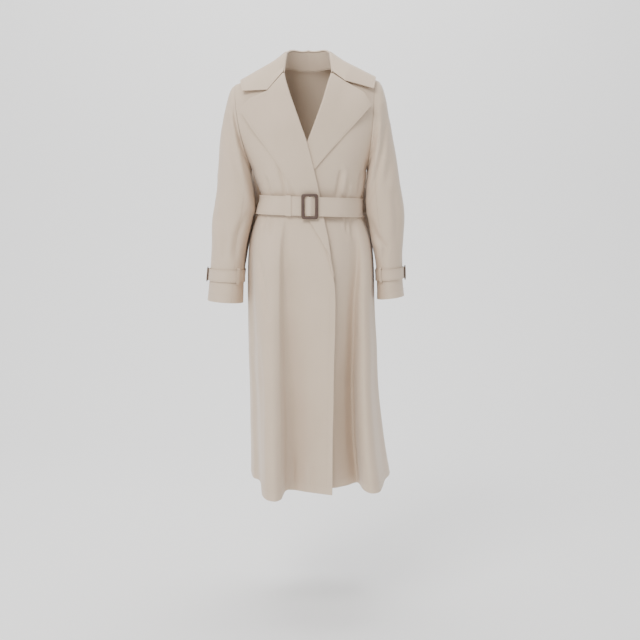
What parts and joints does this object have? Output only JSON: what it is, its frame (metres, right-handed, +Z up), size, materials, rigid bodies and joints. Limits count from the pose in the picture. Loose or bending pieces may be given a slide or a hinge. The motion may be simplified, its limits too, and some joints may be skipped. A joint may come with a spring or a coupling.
{
  "type": "trench coat",
  "caption": "Long belted trench coat in its worn, hollow form, with wide lapels, a big collar, buckled waist belt and buckled cuff straps.",
  "frame": {"origin": "middle of the neck opening, level with the tops of the shoulders, where the wearer holds it up", "axes": "+X to the wearer's left, +Y to the back, +Z up"},
  "size_m": [0.5267, 0.4169, 1.1426],
  "materials": {
    "cloth": "matte",
    "buckle": "satin"
  },
  "bodies": {
    "root": {"front_right": "cloth", "front_left": "cloth", "back": "cloth", "lapel_right": "cloth", "lapel_left": "cloth", "collar_fall": "cloth", "collar_stand": "cloth", "belt": "cloth", "belt_keeper": "cloth", "upper_sleeve_right": "cloth", "under_sleeve_right": "cloth", "cuff_strap_right": "cloth", "cuff_loop_front_right": "cloth", "cuff_loop_back_right": "cloth", "upper_sleeve_left": "cloth", "under_sleeve_left": "cloth", "cuff_strap_left": "cloth", "cuff_loop_front_left": "cloth", "cuff_loop_back_left": "cloth", "belt_buckle": "buckle", "cuff_buckle_right": "buckle", "cuff_buckle_left": "buckle"}
  },
  "joints": []
}
